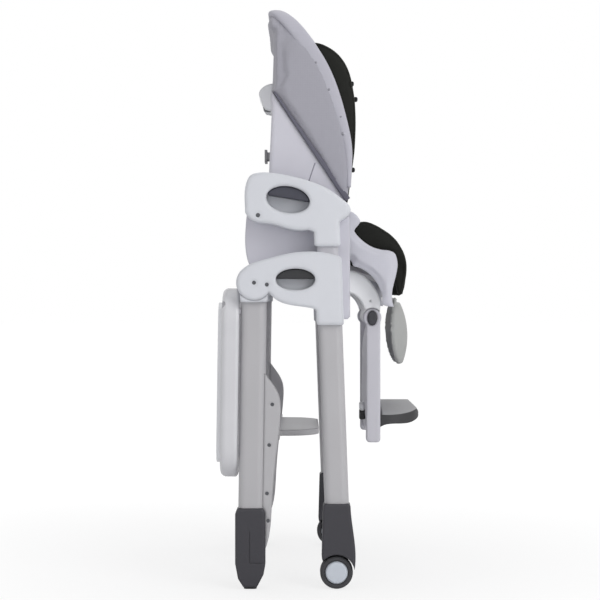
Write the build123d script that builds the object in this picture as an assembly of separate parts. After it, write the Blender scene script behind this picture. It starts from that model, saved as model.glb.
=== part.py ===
from build123d import *
import os
from math import cos, radians, sin, tan

os.makedirs("parts", exist_ok=True)

# Driving sizes of the frame, millimetres; +X is the front of the chair, +Z up, floor at Z 0
HALF_TRACK = 245.0  # leg centre line to the middle plane
PIVOT_X = -118.2  # fold pivot, measured from the origin
PIVOT_Z = 550.0
HUB_SPAN = 134.0  # fold pivot to the front leg line
FRONT_LEAN = 2.1  # degrees, front legs, feet forward
REAR_LEAN = 0.83  # degrees, rear legs, feet backward
FRONT_DEPTH = 44.0  # front leg tube, front to back
REAR_DEPTH = 46.0
LEG_WIDTH = 28.0  # leg tubes, side to side
TUBE_WALL = 2.0
KNUCKLE_R = 30.0
WHEEL_R = 29.5
WHEEL_WIDTH = 26.0
PIN_R = 5.0
AXLE_R = 4.0

# Driving sizes of the seat, backrest, leg rest and tray
PANEL = 10.5  # seat side panel thickness
SEAT_SLOPE = 19.5  # degrees the seat falls forward while the chair is folded
PAN = 6.0  # seat pan thickness
SEAT_PAD = 20.0
BACK_GAP = 17.0  # side panel to the fabric hood, each side
HOOD_WALL = 13.0
BAR_WIDTH = 22.0  # leg rest bars, side to side
BAR_DEPTH = 26.4
BAR_INSET = 36.0  # side of the hood to the outer face of the leg rest bars
FOOT_TRAVEL = 18.0  # footplate, one notch down
TRAY_OVERHANG = 17.0  # tray side beyond the leg line
TRAY_RIM = 26.0
TRAY_HEIGHT = 345.0
TRAY_THICK = 32.0

# Clearances
RUN = 0.4  # between pieces that pass each other
PIN_FIT = 0.05  # radial, pins in running bores
SLIDE_FIT = 0.5  # inner tube inside the leg
SOFT_GAP = 0.4  # round the padded pieces

# Places worked out from the sizes above
HUB_IN = HALF_TRACK - 31.0
HUB_STEP = HUB_IN + 6.0
HUB_OUT = HALF_TRACK + 23.0
ARM_OUT = HALF_TRACK + 20.0
PANEL_OUT = HUB_IN - 0.5
PANEL_IN = PANEL_OUT - PANEL
BACK_HALF = PANEL_IN - BACK_GAP
BAR_OUT = BACK_HALF - BAR_INSET
TRAY_HALF = HALF_TRACK + TRAY_OVERHANG
FRONT_X = PIVOT_X + HUB_SPAN
MOVE_X = FRONT_X - 20.6
MOVE_Z = PIVOT_Z - 550.0
BAR_IN = BAR_OUT - BAR_WIDTH
REST_X, REST_Z = 104.1 + MOVE_X, 486.2 + MOVE_Z
RECLINE_X, RECLINE_Z = -50.0 + MOVE_X, 660.0 + MOVE_Z
SHELL_OUT = BACK_HALF - 4.0
BED_HALF = BACK_HALF - HOOD_WALL - SOFT_GAP - 1.0
TUBE_DEPTH = FRONT_DEPTH - 2 * TUBE_WALL - 2 * SLIDE_FIT
TUBE_WIDTH = LEG_WIDTH - 2 * TUBE_WALL - 2 * SLIDE_FIT


def front_x(z):
    """Front leg line at a height."""
    return FRONT_X + (PIVOT_Z - z) * tan(radians(FRONT_LEAN))


def rear_x(z):
    """Rear leg line at a height."""
    return PIVOT_X - (PIVOT_Z - z) * tan(radians(REAR_LEAN))


def polar(x, z, r, deg):
    """Point at a radius and angle from a centre in the side view."""
    return (x + r * cos(radians(deg)), z + r * sin(radians(deg)))


def seat(points):
    """Side-view points of the seat, moved with the front leg line and the hub."""
    return [(x + MOVE_X, z + MOVE_Z) for x, z in points]


def slab(face, near, far):
    """Right-hand solid of a side-view outline between two distances from the middle plane."""
    return extrude(Plane.XZ.offset(near) * face, amount=far - near)


def across(face, half):
    """Solid of a side-view outline over the full width, evenly about the middle plane."""
    return extrude(Plane.XZ * face, amount=half, both=True)


def both_sides(shape):
    """A right-hand solid and its mirror image as one node."""
    return Part() + [shape, mirror(shape, about=Plane.XZ)]


def closed(points):
    """Straight-sided outline through points."""
    return make_face(Polyline(*points, close=True))


def smooth(points, ends):
    """Outline whose first run is a smooth curve through points and whose rest is straight."""
    return make_face([Spline(*points), Polyline(points[-1], *ends, points[0])])


def soften(solid, face_y, r, longest_arc=1000.0):
    """Round the outline edges lying in one side face, leaving long running arcs sharp."""
    edges = [e for e in solid.edges() if abs(e.center().Y - face_y) < 0.01 and e.bounding_box().size.Y < 0.02]
    edges = [e for e in edges if e.geom_type != GeomType.CIRCLE or e.length < longest_arc]
    return fillet(edges, r)


def leg_plane(x, z, lean):
    """Plane across a leg line at a point of it, on the right-hand side."""
    a = radians(lean)
    return Plane(origin=(x, -HALF_TRACK, z), x_dir=(cos(a), 0, sin(a)), z_dir=(-sin(a), 0, cos(a)))


def leg_bar(line, lean, low, high, depth, width):
    """Solid leg section between two heights along a leg line."""
    section = RectangleRounded(depth, width, width * 0.45)
    return extrude(leg_plane(line(low), low, lean) * section, amount=(high - low) / cos(radians(lean)))


def oval(x, z, long, short, tilt):
    """Oval outline in the side view, turned clockwise by a tilt."""
    return Pos(x, z) * Rot(0, 0, -tilt) * Ellipse(long / 2, short / 2)


def save(name, shape):
    """Write one node."""
    export_step(shape, f"parts/{name}.step")


def save_pair(name, right):
    """Write a right-hand node and its left-hand mirror image."""
    save(name + "_right", right)
    save(name + "_left", mirror(right, about=Plane.XZ))


# Front legs and the tubes that slide in them
FRONT_TOP = PIVOT_Z + 24.0
front_leg = leg_bar(front_x, FRONT_LEAN, 90, FRONT_TOP, FRONT_DEPTH, LEG_WIDTH)
front_bore = leg_bar(
    front_x, FRONT_LEAN, 80, FRONT_TOP + 20, FRONT_DEPTH - 2 * TUBE_WALL, LEG_WIDTH - 2 * TUBE_WALL
)
save_pair("front_leg", front_leg - front_bore)
TUBE_TOP = 690.0 + MOVE_Z
inner = leg_bar(front_x, FRONT_LEAN, 220 + MOVE_Z, TUBE_TOP, TUBE_DEPTH, TUBE_WIDTH)
inner_bore = leg_bar(front_x, FRONT_LEAN, 200 + MOVE_Z, TUBE_TOP + 10, TUBE_DEPTH - 3, TUBE_WIDTH - 3)
save_pair("height_tube", inner - inner_bore)

# Hub: a moulding that holds the front leg, wraps the knuckle of the rear leg and covers it
h = HUB_SPAN / 134.0
wrap = KNUCKLE_R + RUN
socket = FRONT_DEPTH / 2 + 2.5
SOCKET_Z = PIVOT_Z - 76.0


def hub_point(x, z):
    """Point of the hub outline, from the fold pivot."""
    return (PIVOT_X + x * h, PIVOT_Z + z)


brow = KNUCKLE_R + 2.0
HUB_SKIN = HUB_OUT - 6.0
tip_out = polar(PIVOT_X, PIVOT_Z, brow, 140)
tip_in = polar(PIVOT_X, PIVOT_Z, wrap, 118)
low_in = polar(PIVOT_X, PIVOT_Z, wrap, -31)
crest = (front_x(PIVOT_Z + 46) + socket, PIVOT_Z + 46)
belly = (front_x(PIVOT_Z - 48) - socket, PIVOT_Z - 48)
hub_face = make_face(
    [
        Spline(tip_out, hub_point(-3.3, 35), hub_point(16, 41), hub_point(71.6, 54), hub_point(125.5, 54), crest),
        Line(crest, (front_x(SOCKET_Z) + socket, SOCKET_Z)),
        Line((front_x(SOCKET_Z) + socket, SOCKET_Z), (front_x(SOCKET_Z) - socket, SOCKET_Z)),
        Line((front_x(SOCKET_Z) - socket, SOCKET_Z), belly),
        Spline(belly, hub_point(71.6, -41), hub_point(46, -34), low_in),
        ThreePointArc(low_in, polar(PIVOT_X, PIVOT_Z, wrap, 44), tip_in),
        Line(tip_in, tip_out),
    ]
)
hub_face = fillet([v for v in hub_face.vertices() if v.X > FRONT_X - socket - 8 and v.Y < PIVOT_Z], 4.0)
hub_face = fillet([v for v in hub_face.vertices() if v.X > FRONT_X and v.Y > PIVOT_Z + 30], 9.0)
hub_cover = hub_face + Pos(PIVOT_X, PIVOT_Z) * Circle(brow)
hub = slab(hub_face, HUB_STEP, HUB_SKIN)
hub += soften(slab(hub_cover, HUB_SKIN, HUB_OUT), -HUB_OUT, 2.0)
cheek = hub_face + Pos(PIVOT_X, PIVOT_Z) * Circle(wrap + 1.0)
hub += slab(cheek, HUB_IN, HUB_STEP)
GRIP_Z = PIVOT_Z + 5.8
GRIP_X = PIVOT_X + 74.3 * h
SQUEEZE = 6.0
SKIN = 6.0
grip = oval(GRIP_X, GRIP_Z, 71, 39, 0)
GRIP_FLOOR = HUB_STEP + 20.0
hub -= slab(grip, GRIP_FLOOR, HUB_OUT + 1)
hub -= slab(Pos(0, SQUEEZE + 1.5) * grip, GRIP_FLOOR, HUB_OUT - SKIN)
hub -= leg_bar(front_x, FRONT_LEAN, SOCKET_Z - 5, FRONT_TOP, FRONT_DEPTH, LEG_WIDTH)
hub -= leg_bar(
    front_x, FRONT_LEAN, SOCKET_Z, PIVOT_Z + 80, TUBE_DEPTH + 2 * SLIDE_FIT, TUBE_WIDTH + 2 * SLIDE_FIT
)
pin_circle = Pos(PIVOT_X, PIVOT_Z) * Circle(PIN_R)
hub -= slab(pin_circle, HUB_IN - 1, HUB_STEP + 1)
hub_screws = Part()
for spot in (hub_point(0, 0), hub_point(23, -3.4)):
    head = slab(Pos(*spot) * Circle(3.6), HUB_OUT - 4, HUB_OUT - 1)
    head -= slab(Pos(*spot) * RegularPolygon(1.6, 6), HUB_OUT - 2.4, HUB_OUT)
    hub -= slab(Pos(*spot) * Circle(3.6), HUB_OUT - 4, HUB_OUT + 1)
    hub_screws += both_sides(head)
save_pair("hub", hub)
save("hub_screws", hub_screws)

# Fold triggers in the hub grips
trigger_face = Pos(GRIP_X, GRIP_Z) * Ellipse(35.5 - RUN, 19.5 - RUN)
trigger_face -= Pos(GRIP_X, GRIP_Z - 15) * Rectangle(90, 32)
trigger_face = fillet(trigger_face.vertices(), 2.5)
trigger = slab(trigger_face, GRIP_FLOOR + RUN, HUB_OUT - SKIN - RUN)
save_pair("fold_trigger", soften(trigger, -(HUB_OUT - SKIN - RUN), 1.5))

# Knuckle cap on the head of each rear leg, and the pin it turns on
cap_low = PIVOT_Z - 35.0
cap_half = REAR_DEPTH / 2 + 2.0
cap_face = Pos(PIVOT_X, PIVOT_Z) * Circle(KNUCKLE_R)
cap_face += closed(
    [
        (rear_x(cap_low) - cap_half, cap_low),
        (rear_x(cap_low) + cap_half, cap_low),
        (PIVOT_X + cap_half, PIVOT_Z),
        (PIVOT_X - cap_half, PIVOT_Z),
    ]
)
CAP_IN = HUB_STEP + RUN
cap_face = fillet([v for v in cap_face.vertices() if v.Y < cap_low + 1], 4.0)
cap = slab(cap_face, CAP_IN, HUB_SKIN - RUN)
cap += slab(cap_face - Pos(PIVOT_X, PIVOT_Z) * Circle(brow + RUN), HUB_SKIN - RUN, HUB_OUT)
REAR_TOP = PIVOT_Z - PIN_R - 5.0
rear_body = leg_bar(rear_x, -REAR_LEAN, 60, REAR_TOP, REAR_DEPTH, LEG_WIDTH)
cap -= rear_body
cap -= slab(Pos(PIVOT_X, PIVOT_Z) * Circle(PIN_R + PIN_FIT), CAP_IN - 1, HUB_OUT + 1)
save_pair("rear_cap", cap)
pin = slab(pin_circle, HUB_IN, HUB_SKIN - PIN_FIT)
save("fold_pins", both_sides(pin))

# Rear legs, their feet and the pads they rest on
rear_bore = leg_bar(
    rear_x, -REAR_LEAN, 50, REAR_TOP + 5, REAR_DEPTH - 2 * TUBE_WALL, LEG_WIDTH - 2 * TUBE_WALL
)
save_pair("rear_leg", rear_body - rear_bore)
PAD = 3.0
foot_x = rear_x(60)
foot_half = REAR_DEPTH / 2 + 4.0
FOOT_IN, FOOT_OUT = HALF_TRACK - 19.0, HALF_TRACK + 19.0
foot_face = closed(
    [
        (foot_x - 12, PAD),
        (foot_x + 12, PAD),
        (foot_x + foot_half - 3, 26),
        (foot_x + foot_half, 42),
        (foot_x + foot_half, 135),
        (foot_x + foot_half - 3, 145),
        (foot_x - foot_half + 4, 145),
        (foot_x - foot_half, 135),
        (foot_x - foot_half, 46),
        (foot_x - foot_half + 5, 19),
    ]
)
foot_face = fillet(foot_face.vertices(), 5.0)
foot = slab(foot_face, FOOT_IN, FOOT_OUT)
foot = soften(soften(foot, -FOOT_OUT, 4.0), -FOOT_IN, 4.0)
foot -= rear_body
foot -= slab(Pos(foot_x - 1, 76) * Rectangle(1.2, 56), FOOT_OUT - 1, FOOT_OUT + 1)
foot -= slab(Pos(foot_x + 12, 47) * Rectangle(27, 1.2), FOOT_OUT - 1, FOOT_OUT + 1)
save_pair("rear_foot", foot)
pad = Pos(foot_x, -HALF_TRACK, 0) * extrude(RectangleRounded(23, 26, 6), amount=PAD)
save("rear_pads", both_sides(pad))

# Rear brace: a plate against the front of each rear leg and a round-cornered shelf between them
BRACE_IN, BRACE_OUT = HALF_TRACK - 9.0, HALF_TRACK + 9.0
BRACE_X = PIVOT_X + 113.4
brace_face = smooth(
    [(-103, 400), (-92, 383), (-68.5, 345), (-66.5, 307), (-75, 229), (-82, 145), (-86, 98), (-93, 72)],
    [(-118, 72), (-118, 400)],
)
plate = slab(Pos(BRACE_X, MOVE_Z) * brace_face, BRACE_IN, BRACE_OUT)
plate -= leg_bar(rear_x, -REAR_LEAN, 20, REAR_TOP, REAR_DEPTH, LEG_WIDTH)
plate -= slab(foot_face, FOOT_IN, FOOT_OUT)
plate = plate.solids().sort_by(Axis.X)[-1]
SHELF_HALF = BRACE_IN - 80.0
plan = Pos(-145, 0) * RectangleRounded(300, 2 * SHELF_HALF, 60) & Pos(-26, 0) * Rectangle(120, 2 * BRACE_IN)
plan += Pos(-77, 0) * Rectangle(18, 2 * BRACE_IN)
SHELF_Z = 277.0 + MOVE_Z
shelf = Pos(BRACE_X, 0, SHELF_Z) * extrude(plan, amount=-11.0)
brace = Part() + [plate, mirror(plate, about=Plane.XZ), shelf]
screw_spots = [(-81, 331), (-86.5, 258), (-90.5, 171), (-88.6, 122)]
screws = Part()
for sx, sz in screw_spots:
    spot = Pos(sx + BRACE_X, sz + MOVE_Z) * Circle(3.4)
    brace -= both_sides(slab(spot, BRACE_OUT - 3, BRACE_OUT + 1))
    screws += both_sides(slab(spot, BRACE_OUT - 3, BRACE_OUT - 0.6))
save("rear_brace", brace)
save("brace_screws", screws)

# Front feet with the wheel arches, the axles and the crossbar
axle_x = front_x(WHEEL_R) - 5.0
ARCH_R = WHEEL_R + 3.0
arch_right = polar(axle_x, WHEEL_R, ARCH_R, 8)
arch_left = polar(axle_x, WHEEL_R, ARCH_R, 140)
boot_half = FRONT_DEPTH / 2 + 2.5
BOOT_TOP = 153.0
heel = (axle_x - ARCH_R + 6.0, WHEEL_R + ARCH_R - 6.0)
boot_rear = (front_x(BOOT_TOP) - boot_half, BOOT_TOP)
boot_front = (front_x(BOOT_TOP) + boot_half, BOOT_TOP)
boot_face = make_face(
    [
        Spline(
            arch_right,
            (axle_x + ARCH_R + 1.5, WHEEL_R + 22.5),
            (axle_x + ARCH_R + 0.5, WHEEL_R + 49.5),
            boot_front,
        ),
        Line(boot_front, boot_rear),
        Line(boot_rear, heel),
        Line(heel, arch_left),
        ThreePointArc(arch_left, polar(axle_x, WHEEL_R, ARCH_R, 74), arch_right),
    ]
)
boot_face = fillet([v for v in boot_face.vertices() if v.Y > heel[1] - 2], 5.0)
BOOT_IN, BOOT_OUT = HALF_TRACK - 21.0, HALF_TRACK + 20.0
CHEEK_OUT = BOOT_IN + 9.0
boot = soften(slab(boot_face, BOOT_IN, BOOT_OUT), -BOOT_OUT, 3.0, 50.0)
web = closed(
    [
        (axle_x - 21, WHEEL_R + 36),
        (axle_x + 21, WHEEL_R + 36),
        (axle_x + 12, WHEEL_R),
        (axle_x - 12, WHEEL_R),
    ]
)
boot += slab(web + Pos(axle_x, WHEEL_R) * Circle(13), BOOT_IN, CHEEK_OUT)
boot -= leg_bar(front_x, FRONT_LEAN, 90, 160, FRONT_DEPTH, LEG_WIDTH)
boot -= slab(Pos(axle_x, WHEEL_R) * Circle(AXLE_R), BOOT_IN - 1, CHEEK_OUT + 1)
BAR_Z = 112.0
CROSS_R = 11.0
cross = Pos(front_x(BAR_Z), 0, BAR_Z) * Rot(90, 0, 0) * Cylinder(CROSS_R, 2 * (BOOT_IN + 5))
boot -= cross
save_pair("front_foot", boot)
cross -= Pos(front_x(BAR_Z), 0, BAR_Z) * Rot(90, 0, 0) * Cylinder(CROSS_R - 1.5, 2 * (BOOT_IN + 9))
save("front_crossbar", cross)
WHEEL_IN = CHEEK_OUT + 1.0
WHEEL_OUT = WHEEL_IN + WHEEL_WIDTH
axle = slab(Pos(axle_x, WHEEL_R) * Circle(AXLE_R), BOOT_IN, WHEEL_OUT - 6)
save("wheel_axles", both_sides(axle))

# Wheels: a tyre on a moulded hub with a domed cap
RIM_R = WHEEL_R - 9.5
tread = RectangleRounded(9.5, WHEEL_WIDTH, 4.0)
tyre_section = Pos(WHEEL_R - 4.75, 0) * tread
tyre_section += Pos(WHEEL_R - 7.5, 0) * Rectangle(4.0, WHEEL_WIDTH - 8)
wheel_mid = Pos(axle_x, -(WHEEL_IN + WHEEL_OUT) / 2, WHEEL_R) * Rot(90, 0, 0)
tyre = wheel_mid * revolve(Plane.XZ * tyre_section, Axis.Z)
save_pair("tyre", tyre)
hub_disc = slab(Pos(axle_x, WHEEL_R) * Circle(RIM_R), WHEEL_IN + 2, WHEEL_OUT)
dome = slab(Pos(axle_x, WHEEL_R) * Circle(RIM_R - 1), WHEEL_OUT, WHEEL_OUT + 3)
dome = soften(dome, -(WHEEL_OUT + 3), 2.5)
rim = hub_disc + dome
rim -= slab(Pos(axle_x, WHEEL_R) * Circle(AXLE_R + PIN_FIT), WHEEL_IN, WHEEL_OUT - 5.5)
rim -= tyre
save_pair("wheel_hub", rim)

# Armrests: grip, lever window and the socket for the inner tube
arm_low = 615.0 + MOVE_Z
arm_half = TUBE_DEPTH / 2 + 4.0
arm_rear = [(-129.5, 676), (-130.4, 710), (-127, 730), (-120, 742.5), (-109, 747), (-84, 747.5)]
arm_top = seat(arm_rear + [(-45, 741), (26, 714), (47, 698.5), (57, 689), (60, 680)])
arm_face = make_face(
    [
        Spline(*arm_top),
        Polyline(
            arm_top[-1],
            (56 + MOVE_X, 670 + MOVE_Z),
            (front_x(arm_low + 45) + arm_half, arm_low + 45),
            (front_x(arm_low + 33) + arm_half, arm_low + 33),
            (front_x(arm_low) + arm_half, arm_low),
            (front_x(arm_low) - arm_half, arm_low),
            (front_x(arm_low + 26) - arm_half, arm_low + 26),
            (-15 + MOVE_X, arm_low + 30),
        ),
        Spline(*seat([(-15, 645), (-50, 646.5), (-85, 656), (-112, 660), (-129.5, 676)])),
    ]
)
arm_face = fillet([v for v in arm_face.vertices() if v.Y < arm_low + 1], 6.0)
armrest = soften(slab(arm_face, PANEL_OUT, ARM_OUT), -ARM_OUT, 4.0)
LEVER_X, LEVER_Z, LEVER_TILT = -52.5 + MOVE_X, 699.0 + MOVE_Z, 9.5
LEVER_FLOOR = PANEL_OUT + 18.0
lever_up = (sin(radians(LEVER_TILT)), cos(radians(LEVER_TILT)))
window = oval(LEVER_X, LEVER_Z, 79, 48, LEVER_TILT)
lift = SQUEEZE + 1.5
armrest -= slab(window, LEVER_FLOOR, ARM_OUT + 1)
armrest -= slab(Pos(lift * lever_up[0], lift * lever_up[1]) * window, LEVER_FLOOR, ARM_OUT - SKIN)
armrest -= leg_bar(front_x, FRONT_LEAN, arm_low - 10, TUBE_TOP, TUBE_DEPTH, TUBE_WIDTH)
arm_screw = Pos(-106.4 + MOVE_X, 671 + MOVE_Z) * Circle(4.0)
armrest -= slab(arm_screw, ARM_OUT - 4, ARM_OUT + 1)
save_pair("armrest", armrest)
save("armrest_screws", both_sides(slab(arm_screw, ARM_OUT - 4, ARM_OUT - 1)))
lever_face = Ellipse(39.5 - RUN, 24.0 - RUN) - Pos(0, -15) * Rectangle(100, 36)
lever_face = fillet(lever_face.vertices(), 2.5)
lever_face = Pos(LEVER_X, LEVER_Z) * Rot(0, 0, -LEVER_TILT) * lever_face
lever = slab(lever_face, LEVER_FLOOR + RUN, ARM_OUT - SKIN - RUN)
save_pair("height_lever", soften(lever, -(ARM_OUT - SKIN - RUN), 1.5))

# Seat side panels, with the slide strip down the inside of the hub
panel_face = make_face(
    [
        Spline(*seat([(-127, 716), (-129.5, 660), (-126, 590), (-100, 552)])),
        Polyline(
            *seat(
                [(-100, 552), (22, 546), (34, 490), (40, 484), (56, 484), (60.5, 489), (60.5, 668), (50, 685)]
            ),
        ),
        Spline(*seat([(50, 685), (-20, 725), (-100, 738), (-127, 716)])),
    ]
)
panel = slab(panel_face, PANEL_IN, PANEL_OUT)
TRUNNION_R = 8.0
recline_circle = Pos(RECLINE_X, RECLINE_Z) * Circle(TRUNNION_R + PIN_FIT)
panel -= slab(recline_circle, PANEL_IN - 1, PANEL_OUT - 2.5)
save_pair("side_panel", panel)

# Seat pan on a cross beam with two curved arms that carry the leg rest
fall = tan(radians(SEAT_SLOPE))
PAN_Z = 606.6 + MOVE_Z + fall * MOVE_X


def pan_top(x):
    """Top of the seat pan at a distance along the chair."""
    return PAN_Z - fall * x


def pan_low(x):
    """Underside of the seat pan."""
    return pan_top(x) - PAN / cos(radians(SEAT_SLOPE))


PAN_REAR = -20.0 + MOVE_X
PAN_BEND = 112.0 + MOVE_X
PAN_FRONT = 141.0 + MOVE_X
bend_z = pan_top(PAN_BEND)
pan_face = make_face(
    [
        Line((PAN_REAR, pan_top(PAN_REAR)), (PAN_BEND, bend_z)),
        TangentArc((PAN_BEND, bend_z), (PAN_FRONT, bend_z - 31), tangent=(1, -fall)),
        Polyline(
            (PAN_FRONT, bend_z - 31),
            (PAN_FRONT, bend_z - 42),
            (PAN_FRONT - PAN, bend_z - 42),
            (PAN_FRONT - PAN, bend_z - 31),
        ),
        Spline(
            (PAN_FRONT - PAN, bend_z - 31),
            (PAN_BEND - 2, pan_low(PAN_BEND - 2)),
            tangents=[(0, 1), (-1, fall)],
        ),
        Polyline(
            (PAN_BEND - 2, pan_low(PAN_BEND - 2)), (PAN_REAR, pan_low(PAN_REAR)), (PAN_REAR, pan_top(PAN_REAR))
        ),
    ]
)
PAN_HALF = BAR_OUT - 17.0
pan = across(pan_face, PAN_HALF)
wide = [(PAN_REAR, pan_top(PAN_REAR)), (60 + MOVE_X, pan_top(60 + MOVE_X))]
wide += [(60 + MOVE_X, pan_low(60 + MOVE_X)), (PAN_REAR, pan_low(PAN_REAR))]
pan += across(closed(wide), PANEL_IN)
save("seat_pan", pan)
BEAM_REAR, BEAM_FRONT = 22.0 + MOVE_X, 58.0 + MOVE_X
BEAM_LOW = 531.0 + MOVE_Z
beam = across(
    closed(
        [
            (BEAM_REAR, BEAM_LOW),
            (BEAM_FRONT, BEAM_LOW),
            (BEAM_FRONT, pan_low(BEAM_FRONT)),
            (BEAM_REAR, pan_low(BEAM_REAR)),
        ]
    ),
    PANEL_IN,
)
HEAD_R = 17.0
ring = HEAD_R + RUN + 0.6
arm_arc = make_face(
    [
        Spline(*seat([(57, 573), (74, 571.5), (103, 550), (118, 518), (118.5, 500)])),
        Line((118.5 + MOVE_X, 500 + MOVE_Z), polar(REST_X, REST_Z, ring, 38)),
        ThreePointArc(
            polar(REST_X, REST_Z, ring, 38), polar(REST_X, REST_Z, ring, 80), polar(REST_X, REST_Z, ring, 138)
        ),
        Spline(polar(REST_X, REST_Z, ring, 138), *seat([(86, 512), (74, 526.5), (57, 534)])),
        Line((57 + MOVE_X, 534 + MOVE_Z), (57 + MOVE_X, 573 + MOVE_Z)),
    ]
)
LUG_IN = BAR_IN - 10.0
seat_arm = slab(arm_arc, LUG_IN, BAR_OUT)
lug_face = Pos(REST_X, REST_Z) * Circle(13.0)
lug_face += closed(
    [
        (REST_X - 13, REST_Z),
        (REST_X + 13, REST_Z),
        (REST_X + 13, REST_Z + 22),
        (REST_X - 9, REST_Z + 22),
    ]
)
seat_arm += slab(lug_face, LUG_IN, BAR_IN - RUN)
seat_arm -= slab(Pos(REST_X, REST_Z) * Circle(PIN_R), LUG_IN - 1, BAR_IN)
seat_arm -= slab(Pos(100.3 + MOVE_X, 517 + MOVE_Z) * Circle(1.8), BAR_OUT - 4, BAR_OUT + 1)
yoke = Part() + [beam, seat_arm, mirror(seat_arm, about=Plane.XZ)]
save("seat_yoke", yoke)
POCKET = 10.0
rest_pin = slab(Pos(REST_X, REST_Z) * Circle(PIN_R), LUG_IN, BAR_OUT - POCKET - 1.5)
save("leg_rest_pins", both_sides(rest_pin))

# Leg rest: two bars with a board between them, buttons in the bar heads
BAR_X = 106.0 + MOVE_X
BAR_LOW = 253.0 + MOVE_Z
bar_face = Pos(REST_X, REST_Z) * Circle(HEAD_R)
bar_face += Pos(BAR_X, (REST_Z + BAR_LOW - 1) / 2) * Rectangle(BAR_DEPTH, REST_Z - BAR_LOW - 15)
bar_face += Pos(BAR_X, BAR_LOW + 10) * RectangleRounded(BAR_DEPTH, 20, 6.5)
leg_bars = soften(slab(bar_face, BAR_IN, BAR_OUT), -BAR_OUT, 2.5)
button_face = oval(REST_X, REST_Z - 1, 18.5, 28, 0)
leg_bars -= slab(button_face, BAR_OUT - POCKET, BAR_OUT + 1)
leg_bars -= slab(Pos(REST_X, REST_Z) * Circle(PIN_R + PIN_FIT), BAR_IN - 1, BAR_OUT - POCKET - 1.4)
board_face = make_face(
    [
        Spline(*seat([(103, 468), (97.5, 440), (95, 380), (95.5, 300), (100, 262)])),
        Polyline(*seat([(100, 262), (105, 262)])),
        Spline(*seat([(105, 262), (101, 300), (100.5, 380), (103, 440), (108, 468)])),
        Polyline(*seat([(108, 468), (103, 468)])),
    ]
)
FOOT_TOP = 307.0 + MOVE_Z
TONGUE_HALF = 14.0
board = across(board_face, BAR_IN)
slot_low = FOOT_TOP - 34 - FOOT_TRAVEL
slot_high = FOOT_TOP + 2
board -= Pos(BAR_X, 0, (slot_low + slot_high) / 2) * Box(40, 2 * TONGUE_HALF + 2, slot_high - slot_low)
save("leg_rest", Part() + [leg_bars, mirror(leg_bars, about=Plane.XZ), board])
button = slab(Pos(REST_X, REST_Z - 1) * Ellipse(9.25 - RUN, 14 - RUN), BAR_OUT - POCKET + 4.6, BAR_OUT + 4)
save_pair("leg_rest_button", soften(button, -(BAR_OUT + 4), 2.0))

# Footplate on a tongue that passes through the board, with a release latch behind it
plate_x = BAR_X + BAR_DEPTH / 2 + RUN
CROWN = 15.0
EDGE_DROP = 3.0
foot_side = make_face(
    [
        Line((plate_x, FOOT_TOP + CROWN), (plate_x + 60, FOOT_TOP + CROWN)),
        Spline(
            (plate_x + 60, FOOT_TOP + CROWN),
            (plate_x + 71, FOOT_TOP + 6),
            (plate_x + 75, FOOT_TOP - 7),
            (plate_x + 67, FOOT_TOP - 14),
            (plate_x + 46, FOOT_TOP - 19),
            (plate_x, FOOT_TOP - 25),
        ),
        Line((plate_x, FOOT_TOP - 25), (plate_x, FOOT_TOP + CROWN)),
    ]
)
PLATE_HALF = BAR_OUT - 1.0
CROWN_SAG = CROWN + EDGE_DROP
CROWN_R = (PLATE_HALF**2 + CROWN_SAG**2) / (2 * CROWN_SAG)
crown_mid = Pos(plate_x, 0, FOOT_TOP + CROWN - CROWN_R) * Rot(0, 90, 0)
footplate = across(foot_side, PLATE_HALF)
footplate &= Pos(plate_x - 75, 0, FOOT_TOP - 50) * extrude(RectangleRounded(300, 2 * PLATE_HALF, 62), amount=100)
footplate &= crown_mid * Cylinder(CROWN_R, 400)
for rib in (-90, -45, 0, 45, 90):
    groove = Pos(plate_x + 32, rib, FOOT_TOP) * Box(42, 5, 20)
    footplate -= groove - crown_mid * Cylinder(CROWN_R - 1.4, 400)
LATCH_REAR, LATCH_FRONT = 85.7 + MOVE_X, 94.6 + MOVE_X
LATCH_HALF = TONGUE_HALF + 6.0
tongue_low, tongue_high = FOOT_TOP - 21, FOOT_TOP - 4
tongue_mid, tongue_tall = (tongue_low + tongue_high) / 2, tongue_high - tongue_low
tongue = Pos(LATCH_REAR, tongue_mid) * Rectangle(plate_x + 6 - LATCH_REAR, tongue_tall, align=(Align.MIN, Align.CENTER))
footplate += across(tongue, TONGUE_HALF)
grip_end = Pos((LATCH_REAR + LATCH_FRONT) / 2, tongue_mid) * RectangleRounded(LATCH_FRONT - LATCH_REAR, tongue_tall, 2)
footplate += across(grip_end, LATCH_HALF)
save("footplate", footplate)
latch_face = Pos((LATCH_REAR + LATCH_FRONT) / 2, FOOT_TOP + 3 + RUN) * RectangleRounded(LATCH_FRONT - LATCH_REAR, 14, 2)
save("footplate_latch", across(latch_face, LATCH_HALF))

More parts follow.
